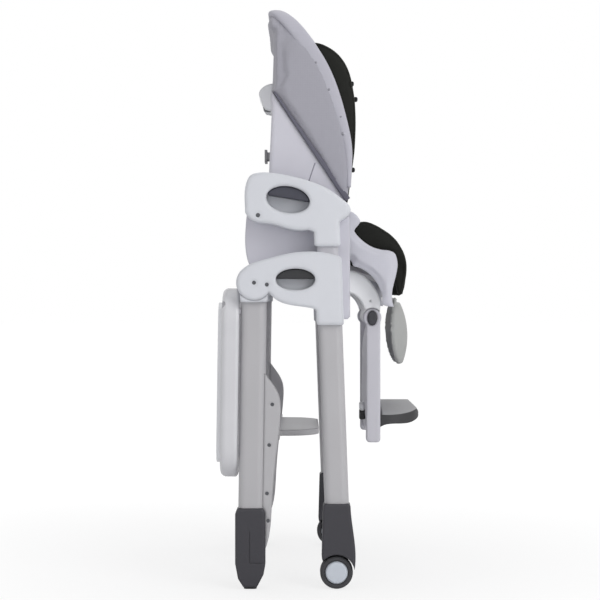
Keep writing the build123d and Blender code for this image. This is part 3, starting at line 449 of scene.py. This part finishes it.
def woven(name, base, thread_mm, depth, low=0.9, high=1.05, sheen=0.3):
    """Woven polyester: crossing threads along the three axes, with a soft mottle where the yarn varies.
    The threads are drawn coarser than real ones so that they show."""
    made, tree, shader, spot = fresh(name)
    bands = []
    for axis in "XYZ":
        wave = node(
            tree,
            "ShaderNodeTexWave",
            {"wave_type": "BANDS", "bands_direction": axis, "wave_profile": "SIN"},
            Vector=spot,
            Scale=0.314 / (thread_mm * MM),
            Distortion=0.6,
            Detail=1.0,
        )
        bands.append(wave.outputs["Fac"])
    pair = node(tree, "ShaderNodeMath", {"operation": "ADD"}, _0=bands[0], _1=bands[1])
    cloth = node(tree, "ShaderNodeMath", {"operation": "ADD"}, _0=pair.outputs[0], _1=bands[2])
    yarn = node(tree, "ShaderNodeTexNoise", Vector=spot, Scale=1 / (9 * MM), Detail=4.0)
    weave = node(tree, "ShaderNodeMapRange", Value=cloth.outputs[0], From_Max=3.0)
    blend = node(tree, "ShaderNodeMath", {"operation": "ADD"}, _0=weave.outputs[0], _1=yarn.outputs["Fac"])
    half = node(tree, "ShaderNodeMath", {"operation": "MULTIPLY"}, _0=blend.outputs[0], _1=0.5)
    tint = shades(tree, half.outputs[0], base, low, high)
    tree.links.new(tint, shader.inputs["Base Color"])
    shader.inputs["Roughness"].default_value = 0.85
    shader.inputs["Specular IOR Level"].default_value = 0.25
    shader.inputs["Sheen Weight"].default_value = sheen
    shader.inputs["Sheen Roughness"].default_value = 0.5
    bump = node(tree, "ShaderNodeBump", Height=half.outputs[0], Strength=depth, Distance=0.001)
    tree.links.new(bump.outputs[0], shader.inputs["Normal"])
    return made


def turned_steel(name, base):
    """Zinc-plated steel of screws and pins: bright with fine turning marks."""
    made, tree, shader, spot = fresh(name)
    marks = node(tree, "ShaderNodeTexNoise", Vector=spot, Scale=1 / (0.9 * MM), Detail=2.0)
    tint = shades(tree, marks.outputs["Fac"], base, 0.85, 1.1)
    tree.links.new(tint, shader.inputs["Base Color"])
    shader.inputs["Metallic"].default_value = 1.0
    gloss = node(tree, "ShaderNodeMapRange", Value=marks.outputs["Fac"], To_Min=0.25, To_Max=0.42)
    tree.links.new(gloss.outputs[0], shader.inputs["Roughness"])
    return made


def rubber(name, base):
    """Moulded rubber: dull and slightly dusty."""
    made, tree, shader, spot = fresh(name)
    dust = node(tree, "ShaderNodeTexNoise", Vector=spot, Scale=1 / (6 * MM), Detail=5.0)
    tint = shades(tree, dust.outputs["Fac"], base, 0.8, 1.3)
    tree.links.new(tint, shader.inputs["Base Color"])
    shader.inputs["Roughness"].default_value = 0.8
    bump = node(tree, "ShaderNodeBump", Height=dust.outputs["Fac"], Strength=0.15, Distance=0.0004)
    tree.links.new(bump.outputs[0], shader.inputs["Normal"])
    return made


def finish(obj, material):
    """Gives an object one material."""
    obj.data.materials.clear()
    obj.data.materials.append(material)


def dress(name, mesh, material, body):
    """A new piece with its material and the body that it rides on."""
    obj = put(name, mesh)
    finish(obj, material)
    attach(obj, body)
    return obj


def named(*names):
    """CAD nodes by name; a name that ends in a star gives its right and left nodes."""
    found = []
    for name in names:
        found += [name[:-1] + "_right", name[:-1] + "_left"] if name.endswith("*") else [name]
    return [NODES[n] for n in found]


def seat_point(x, z):
    """A side-view point of the seat in metres, shifted to its place."""
    return (x + SEAT_SHIFT) * MM, z * MM


def seat_path(line, y):
    """Side-view points of the seat, shifted to their place at one distance from the middle plane, in metres."""
    return np.stack([line[:, 0] + SEAT_SHIFT, np.full(len(line), y), line[:, 1]], axis=1) * MM


def between(ends, along):
    """Points on the line between two ends, at shares of its length."""
    start, end = np.array(ends)
    return start * (1 - along[:, None]) + end * along[:, None]


class HighChairPart:
    """What the chair's operators share."""

    bl_options = {"REGISTER", "UNDO"}


class HIGHCHAIR_OT_finishes(HighChairPart, bpy.types.Operator):
    """Give the rigid pieces their paint, plastic, rubber and steel"""

    bl_idname = "highchair.finishes"
    bl_label = "Finish rigid pieces"

    def execute(self, context):
        c = colours()
        groups = [
            (painted("powder_coated_steel", c.paint),
             ["front_leg*", "rear_leg*", "rear_brace", "front_crossbar"]),
            (turned_steel("zinc_plated_steel", linear("9A9CA0")),
             ["fold_pins", "wheel_axles", "leg_rest_pins"]),
            # Painted shade: the screws' steel is darkened to stand in for the shade in their recesses
            (turned_steel("screw_steel_darkened_for_recess_shade", linear("626367")),
             ["hub_screws", "armrest_screws", "brace_screws"]),
            (painted("powder_coated_inner_tube", linear("BDBCC2")), ["height_tube*"]),
            (moulded("moulded_white_polypropylene", c.plastic, 0.38, 1.2, edge_mm=12.0),
             ["hub*", "rear_cap*", "armrest*"]),
            # Painted light: a lighter copy of the white polypropylene, offsetting the shade on the yoke, handle
            # and latch
            (moulded("moulded_white_polypropylene_painted_lighter", c.bright, 0.38, 1.2, edge_mm=8.0),
             ["recline_handle", "seat_yoke", "footplate_latch"]),
            (moulded("moulded_pale_shell", c.shell, 0.45, 1.4, edge_mm=6.0), ["side_panel*", "back_shell"]),
            (moulded("moulded_dark_nylon", c.feet, 0.5, 1.0, 0.2, edge_mm=5.0), ["rear_foot*", "front_foot*"]),
            (moulded("moulded_black_nylon", c.trigger, 0.42, 0.8),
             ["fold_trigger*", "recline_trigger", "buckle"]),
            (moulded("moulded_grey_nylon", c.slider, 0.42, 0.8), ["strap_slider"]),
            (moulded("moulded_slate_nylon", c.lever, 0.42, 0.8), ["height_lever*", "buckle_button"]),
            (moulded("moulded_button_nylon", c.button, 0.42, 0.8), ["leg_rest_button*"]),
            (moulded("moulded_pale_polypropylene", c.rest, 0.45, 1.2, edge_mm=5.0), ["leg_rest"]),
            (moulded("moulded_grey_polypropylene", c.pan, 0.45, 1.2), ["seat_pan", "tray_pegs"]),
            (moulded("moulded_footplate_nylon", c.plate, 0.48, 1.2, 0.2), ["footplate"]),
            (moulded("moulded_tray_abs", c.tray, 0.24, 1.6, 0.05), ["tray"]),
            (moulded("moulded_insert_abs", c.insert, 0.2, 1.6, 0.04), ["tray_insert"]),
            (moulded("moulded_wheel_cap", c.cap, 0.35, 1.0), ["wheel_hub*"]),
            (rubber("tyre_rubber", c.tyre), ["tyre*"]),
            (rubber("pad_rubber", linear("2B2B2D")), ["rear_pads"]),
        ]
        for material, names in groups:
            for obj in named(*names):
                finish(obj, material)
        return {"FINISHED"}


class HIGHCHAIR_OT_hood(HighChairPart, bpy.types.Operator):
    """Make the fabric hood of the backrest with its padded rim, press studs, bound hem and painted shade strips
    in the shell's creases
    """

    bl_idname = "highchair.hood"
    bl_label = "Back hood"

    def execute(self, context):
        c, s = colours(), sizes()
        hood = stuffed("back_hood", "hood_fabric", s.voxel, s.cover_swell, 0.001, 6)
        finish(hood, woven("woven_cover_polyester", c.cover, 3.2, 0.25, 0.93, 1.04))
        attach(hood, "backrest")
        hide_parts("back_hood")
        # Painted light: the rim's fabric is the hood's grey made lighter for the light it catches
        padding = woven("woven_rim_polyester_painted_lighter", c.rim, 3.2, 0.25, 0.93, 1.04)
        rim = dress("hood_rim", self.rim(s), padding, "backrest")
        tape = woven("woven_hem_tape", c.hem, 2.2, 0.3, 0.85, 1.1, 0.1)
        steel = turned_steel("nickel_press_stud", linear("8C8C93"))
        # Painted shade: a darker strip stands in for the shade in the crease on each side of the shell
        shadow = moulded("moulded_crease_painted_shade", linear("9C9BA8"), 0.6, 1.0)
        half = (3.5 * MM, 2.2 * MM, 3.5 * MM)
        for side, word in SIDES:
            dress("hood_hem_" + word, self.hem(s, side), tape, "backrest")
            dress("shell_crease_" + word, self.crease(side), shadow, "backrest")
            for count, spot in enumerate(STUDS):
                x, z = seat_point(*spot)
                name = f"hood_stud_{word}_{count + 1}"
                stud = pillow(name, (x, side * (BACK_HALF + 1.5) * MM, z), half, 2.4, 12, 20)
                dress(name, stud, steel, "backrest")
        return {"FINISHED"}

    def rim(self, s):
        """Rounded strip carried round the hood's front edge: up the right side, over the rounded top and down
        the left. It lies a little inside the edge, and is narrower towards its lower ends."""
        rise, corner, crest = 60, 64, 24  # points up a side, radius of the top corners, points over the top
        side = curve_through(HOOD_EDGE, rise)
        turn = np.linspace(0, np.pi / 2, 16)[1:]
        crest_x, crest_z = np.transpose(HOOD_CREST)
        corner_z = crest_z[0] + corner * np.sin(turn)
        corner_x = np.interp(corner_z, crest_z, crest_x)
        corner_y = -(BACK_HALF - corner) - corner * np.cos(turn)
        right = np.concatenate([
            np.stack([side[:, 0], np.full(rise, -BACK_HALF), side[:, 1]], axis=1),
            np.stack([corner_x, corner_y, corner_z], axis=1),
        ])
        facing = np.concatenate([
            np.tile([0, -1.0, 0], (rise, 1)),
            np.stack([0 * turn, -np.cos(turn), np.sin(turn)], axis=1),
        ])
        flip = [1, -1, 1]
        span = np.linspace(0, 1, crest + 2)[1:-1, None]
        top = right[-1] * (1 - span) + right[-1] * flip * span
        path = np.concatenate([right, top, right[::-1] * flip])
        normal = np.concatenate([facing, np.tile([0, 0, 1.0], (crest, 1)), facing[::-1] * flip])
        inwards = np.cross(np.gradient(path, axis=0), normal)
        inwards /= np.linalg.norm(inwards, axis=1, keepdims=True)
        if inwards[0, 0] > 0:
            inwards = -inwards
        grow = np.interp(path[:, 2], [727, 790, 930], [0.28, 0.5, 1.0])
        path = path + inwards * (0.42 * s.rim_width / MM * grow)[:, None] - normal * 3.0
        path[:, 0] += SEAT_SHIFT
        return carried("hood_rim", path * MM, normal, oval_profile(s.rim_width, s.rim_height, 24), grow)

    def hem(self, s, side):
        """Flat tape carried down the slanting lower edge of the hood on one side, wider towards the front."""
        along = np.linspace(0, 1, 40)
        path = seat_path(between(HEM, along), side * (BACK_HALF + 0.2))
        normal = np.tile([0, float(side), 0], (len(path), 1))
        profile = oval_profile(s.hem_width, 3.2 * MM, 16, 4.0)
        return carried("hood_hem", path, normal, profile, 0.45 + 0.65 * along)

    def crease(self, side):
        """Thin dark strip carried down the crease on the side of the shell, as painted shade for the crease."""
        path = seat_path(between(CREASE, np.linspace(0, 1, 12)), side * (BACK_HALF - 4.0))
        normal = np.tile([0, float(side), 0], (len(path), 1))
        return carried("shell_crease", path, normal, oval_profile(2.2 * MM, 1.0 * MM, 10))


class HIGHCHAIR_OT_cushions(HighChairPart, bpy.types.Operator):
    """Stuff the cushions, the seat sides and the calf flap, and sew on the gusset and the piping"""

    bl_idname = "highchair.cushions"
    bl_label = "Cushions"

    def execute(self, context):
        c, s = colours(), sizes()
        charcoal = woven("woven_charcoal_polyester", c.cushion, 3.0, 0.3, 0.75, 1.3, 0.05)
        pale = woven("woven_side_polyester", c.sides, 3.2, 0.25, 0.93, 1.04)
        coated = woven("coated_flap_fabric", c.flap, 2.4, 0.12, 0.93, 1.05, 0.1)
        seat_mesh, back_mesh, side_mesh, flap_mesh = (share * s.voxel for share in (1, 1.2, 0.8, 0.44))
        pads = [
            ("seat_cushion", "seat_cushion_fabric", charcoal, (seat_mesh, s.swell, 0.0025, 6),
             "seat_carriage", "cushion_fabric", 0.7),
            ("back_cushion", "back_cushion_fabric", charcoal, (back_mesh, s.swell, 0.0025, 6),
             "backrest", "cushion_fabric", 0.7),
            ("seat_cover", "seat_sides_fabric", pale, (side_mesh, s.cover_swell, 0.0025, 6),
             "seat_carriage", "cover_fabric", 0.5),
            ("calf_flap", "calf_flap_fabric", coated, (flap_mesh, 2 * MM, 0.0, 5),
             "calf_flap", "flap_sheet", 0.3),
        ]
        for part, name, material, stuffing, body, slot, fill in pads:
            pad = stuffed(part, name, *stuffing)
            finish(pad, material)
            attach(pad, body)
            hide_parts(part)
        gusset = put("cushion_gusset", self.gusset())
        finish(gusset, charcoal)
        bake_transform(gusset)
        cord = woven("woven_piping_cord", linear("252622"), 1.6, 0.3, 0.7, 1.3, 0.05)
        rolls = [
            ("seat_cushion_fabric", "seat_carriage", SEAT_ROLL, 170.0, "seat_piping"),
            ("back_cushion_fabric", "backrest", BACK_ROLL, 171.0, "back_piping"),
        ]
        for pad, body, line, out, name in rolls:
            for side, word in SIDES:
                path = seat_path(curve_through(line, 110), side * out)
                piping = seam(name, bpy.data.objects[pad], path, 2.0 * MM)
                dress(f"{name}_{word}", piping, cord, body)
        return {"FINISHED"}

    def spot(self, point):
        """A side-view point of the seat in the middle plane."""
        x, z = seat_point(*point)
        return (x, 0, z)

    def gusset(self):
        """Padded strip carried from the back of the seat cushion up to the foot of the back cushion."""
        path = seat_path(curve_through(GUSSET, 40), 0)
        tangent = np.gradient(path, axis=0)
        normal = np.stack([-tangent[:, 2], tangent[:, 1], tangent[:, 0]], axis=1) * -1
        return carried("cushion_gusset", path, normal, oval_profile(274 * MM, 8 * MM, 48, 8.0))


class HIGHCHAIR_OT_footplate_mat(HighChairPart, bpy.types.Operator):
    """Lay the soft mat on the footplate"""

    bl_idname = "highchair.footplate_mat"
    bl_label = "Footplate mat"

    def execute(self, context):
        rubbery = moulded("moulded_soft_mat", colours().mat, 0.55, 2.5, 0.3)
        dress("footplate_mat", self.sheet(), rubbery, "footplate")
        return {"FINISHED"}

    def sheet(self):
        """Rounded oblong drawn in rings from its middle, laid on the crown of the plate: the height falls from
        the middle as a circle does, or with the plate's front lip where that is lower, and the last ring turns
        down."""
        high = np.array(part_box("footplate")[1])
        half = high[1] - 2 * MM
        back = high[0] - 72 * MM
        front = high[0] - 3 * MM
        radius = 59 * MM  # front corners
        sag = 18 * MM  # fall of the crown at the plate's ends
        lip_in = np.array([0, 1, 4, 9, 15]) * MM
        lip_fall = np.array([22, 14, 8.4, 3.2, 0]) * MM
        turn = np.linspace(0, np.pi / 2, 24)
        bend_x = front - radius + radius * np.sin(turn)
        bend_y = half - radius + radius * np.cos(turn)
        straight = np.linspace(back, front - radius, 8)
        front_y = np.linspace(half - radius, -half + radius, 40)
        rear_y = np.linspace(-half, half, 60)[1:-1]
        edge_x = np.concatenate(
            [straight, bend_x, np.full(40, front), bend_x[::-1], straight[::-1], np.full(58, back)]
        )
        edge_y = np.concatenate([[half] * 8, bend_y, front_y, -bend_y[::-1], [-half] * 8, rear_y])
        edge = np.stack([edge_x, edge_y], axis=1)
        middle = np.array([(back + front) / 2, 0])
        ring = np.concatenate([np.linspace(0.02, 0.99, 14), [1.0, 1.0]])
        flat = middle + (edge - middle)[None] * ring[:, None, None]
        fall = np.concatenate([np.zeros(14), [0.5 * MM, 2.0 * MM]])
        ball = (high[1] ** 2 + sag ** 2) / (2 * sag)
        crown = ball - np.sqrt(ball ** 2 - flat[..., 1] ** 2)
        lip = np.interp(high[0] - flat[..., 0], lip_in, lip_fall)
        height = high[2] + 0.9 * MM - np.maximum(crown, lip) - fall[:, None]
        mesh = surface("footplate_mat", np.concatenate([flat, height[..., None]], axis=2), round_v=True)
        outward(mesh)
        return mesh


class HIGHCHAIR_OT_harness(HighChairPart, bpy.types.Operator):
    """Make the shoulder straps with their pads, the waist straps, the crotch strap and the keepers"""

    bl_idname = "highchair.harness"
    bl_label = "Harness"

    def execute(self, context):
        c, s = colours(), sizes()
        web = woven("woven_harness_webbing", c.webbing, 1.8, 0.4, 0.7, 1.4, 0.1)
        charcoal = woven("woven_pad_polyester", c.cushion, 2.4, 0.3, 0.75, 1.3, 0.05)
        back, seat, gusset = (
            bpy.data.objects[name] for name in ("back_cushion_fabric", "seat_cushion_fabric", "cushion_gusset")
        )
        pad_half = (5.5 * MM, 23 * MM, 55 * MM)
        keeper_half = (4 * MM, 11 * MM, 4.5 * MM)
        for side, word in SIDES:
            strap = dress("shoulder_strap_" + word, self.strap(s, side, back), web, "backrest")
            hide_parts("shoulder_straps")
            low = coords(strap.data).min(axis=0)
            pad_at = (low[0] + 7 * MM, side * STRAP_OUT * MM, 842 * MM)
            pad = pillow("shoulder_pad", pad_at, pad_half)
            pad = dress("shoulder_pad_" + word, pad, charcoal, "backrest")
            waist = self.waist(s, side, [seat, gusset])
            dress("waist_strap_" + word, waist, web, "seat_carriage")
            for count, spot in enumerate(KEEPERS):
                x, z = seat_point(*spot)
                name = f"harness_keeper_{word}_{count + 1}"
                keeper = pillow(name, (x - 2 * MM, side * 154 * MM, z), keeper_half, 2.6, 14, 24)
                dress(name, keeper, web, "backrest")
        crotch = dress("crotch_strap_webbing", self.crotch(s), web, "seat_carriage")
        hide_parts("crotch_strap")
        return {"FINISHED"}

    def webbing(self, s, thickness_mm):
        """Flat rounded section of the webbing."""
        return oval_profile(s.strap_width, thickness_mm * MM, 16, 4.0)

    def strap(self, s, side, back):
        """Flat webbing carried down the front of the back cushion, lying on its channels."""
        height = np.linspace(905, 690, 60)
        line = np.stack([np.full(60, -31.1), height], axis=1)
        path = laid_on([back], seat_path(line, side * STRAP_OUT), (1, 0, 0), 9 * MM, 1.2 * MM)
        return carried("shoulder_strap", path, np.tile([1.0, 0, 0], (60, 1)), self.webbing(s, 2))

    def waist(self, s, side, pads):
        """Flat webbing carried over the seat cushion and its gusset from the back corner to the buckle."""
        path = curve_through(WAIST, 60) * [1, side, 1] * MM
        path[:, 0] += SEAT_SHIFT * MM
        slope = math.radians(SEAT_SLOPE)
        up = np.array([math.sin(slope), 0, math.cos(slope)])
        path = laid_on(pads, path, up, 9 * MM, 1.2 * MM)
        return carried("waist_strap", path, np.tile(up, (60, 1)), self.webbing(s, 2))

    def crotch(self, s):
        """Flat webbing carried up from the seat to the buckle, leaning a little to the front."""
        low, high = (np.array(corner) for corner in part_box("crotch_strap"))
        way = np.array([0.1, 0, 1.0]) * (high[2] - low[2])
        path = (low + high) / 2 + np.linspace(-0.5, 0.5, 12)[:, None] * way
        return carried("crotch_strap", path, np.tile([1.0, 0, 0], (12, 1)), self.webbing(s, 2.4))


class HIGHCHAIR_OT_stage(HighChairPart, bpy.types.Operator):
    """Set the floor, the soft light and the camera"""

    bl_idname = "highchair.stage"
    bl_label = "Stage"

    def execute(self, context):
        scene = context.scene
        scene.view_settings.view_transform = "Standard"
        half = 30.0
        grid = np.array([[[-half, -half, 0], [-half, half, 0]], [[half, -half, 0], [half, half, 0]]])
        floor = put("floor", surface("floor", grid - [0, 0, 0.0006]))
        finish(floor, self.floor_material())
        self.world(scene)
        for name, settings in LAMPS.items():
            self.lamp(name, *settings)
        camera = bpy.data.objects.new("camera", bpy.data.cameras.new("camera"))
        camera.location = CAMERA_AT
        camera.rotation_euler = (math.pi / 2, 0, 0)
        camera.data.lens = CAMERA_LENS
        camera.data.sensor_width = 36
        scene.collection.objects.link(camera)
        scene.camera = camera
        return {"FINISHED"}

    def lamp(self, name, spot, aim, size, watts):
        """A square soft lamp that looks at a point."""
        light = bpy.data.lights.new(name, "AREA")
        light.size = size
        light.energy = watts
        obj = bpy.data.objects.new(name, light)
        way = np.array(aim) - np.array(spot)
        flat = math.hypot(way[0], way[1])
        obj.location = spot
        obj.rotation_euler = (math.atan2(flat, -way[2]), 0, math.atan2(way[1], way[0]) - math.pi / 2)
        bpy.context.scene.collection.objects.link(obj)

    def floor_material(self):
        """Pale floor that the camera sees near white, with the chair's shadow left on it: white further than
        a stride from the chair."""
        made, tree, shader, spot = fresh("pale_floor")
        shader.inputs["Base Color"].default_value = (*linear("F2F2F3"), 1)
        shader.inputs["Roughness"].default_value = 0.9
        seen = node(tree, "ShaderNodeLightPath")
        away = node(tree, "ShaderNodeVectorMath", {"operation": "LENGTH"}, _0=spot)
        near_far = {"From_Min": 0.3, "From_Max": 1.4, "To_Min": 1.0, "To_Max": 1.16}
        white = node(tree, "ShaderNodeMapRange", Value=away.outputs["Value"], **near_far)
        glow = node(tree, "ShaderNodeEmission", Color=(1, 1, 1, 1), Strength=white.outputs[0])
        camera_ray = seen.outputs["Is Camera Ray"]
        share = node(tree, "ShaderNodeMath", {"operation": "MULTIPLY"}, _0=camera_ray, _1=0.77)
        mix = node(tree, "ShaderNodeMixShader", Fac=share.outputs[0], _1=shader.outputs[0], _2=glow.outputs[0])
        out = next(n for n in tree.nodes if n.type == "OUTPUT_MATERIAL")
        tree.links.new(mix.outputs[0], out.inputs["Surface"])
        return made

    def world(self, scene):
        """White to the camera and in reflections, a plain soft light to everything else."""
        scene.world = bpy.data.worlds.new("studio")
        scene.world.use_nodes = True
        tree = scene.world.node_tree
        tree.nodes.clear()
        seen = node(tree, "ShaderNodeLightPath")
        one = node(
            tree, "ShaderNodeMath", {"operation": "MAXIMUM"},
            _0=seen.outputs["Is Camera Ray"], _1=seen.outputs["Is Glossy Ray"],
        )
        white = node(
            tree, "ShaderNodeMath", {"operation": "MAXIMUM"},
            _0=one.outputs[0], _1=seen.outputs["Is Transmission Ray"],
        )
        strength = node(tree, "ShaderNodeMapRange", Value=white.outputs[0], To_Min=0.55, To_Max=1.0)
        back = node(tree, "ShaderNodeBackground", Color=(1, 1, 1, 1), Strength=strength.outputs[0])
        node(tree, "ShaderNodeOutputWorld", Surface=back.outputs[0])


class HIGHCHAIR_PT_panel(bpy.types.Panel):
    """Lists the steps that dress the chair"""

    bl_idname = "HIGHCHAIR_PT_panel"
    bl_label = "High chair"
    bl_space_type = "VIEW_3D"
    bl_region_type = "UI"
    bl_category = "High chair"

    def draw(self, context):
        for step in STEPS:
            self.layout.operator(step.bl_idname)
        for group in (colours(), sizes()):
            for key in group.bl_rna.properties.keys():
                if key not in ("rna_type", "name"):
                    self.layout.prop(group, key)


STEPS = (
    HIGHCHAIR_OT_stage,
    HIGHCHAIR_OT_finishes,
    HIGHCHAIR_OT_hood,
    HIGHCHAIR_OT_cushions,
    HIGHCHAIR_OT_footplate_mat,
    HIGHCHAIR_OT_harness,
)
CLASSES = (HighChairColours, HighChairSizes, *STEPS, HIGHCHAIR_PT_panel)


def register():
    for cls in CLASSES:
        bpy.utils.register_class(cls)
    bpy.types.Scene.high_chair_colours = bpy.props.PointerProperty(type=HighChairColours)
    bpy.types.Scene.high_chair_sizes = bpy.props.PointerProperty(type=HighChairSizes)


def unregister():
    del bpy.types.Scene.high_chair_sizes
    del bpy.types.Scene.high_chair_colours
    for cls in reversed(CLASSES):
        bpy.utils.unregister_class(cls)


def main():
    register()
    bpy.ops.highchair.stage()
    bpy.ops.highchair.finishes()
    bpy.ops.highchair.hood()
    bpy.ops.highchair.cushions()
    bpy.ops.highchair.footplate_mat()
    bpy.ops.highchair.harness()


if __name__ == "__main__":
    main()
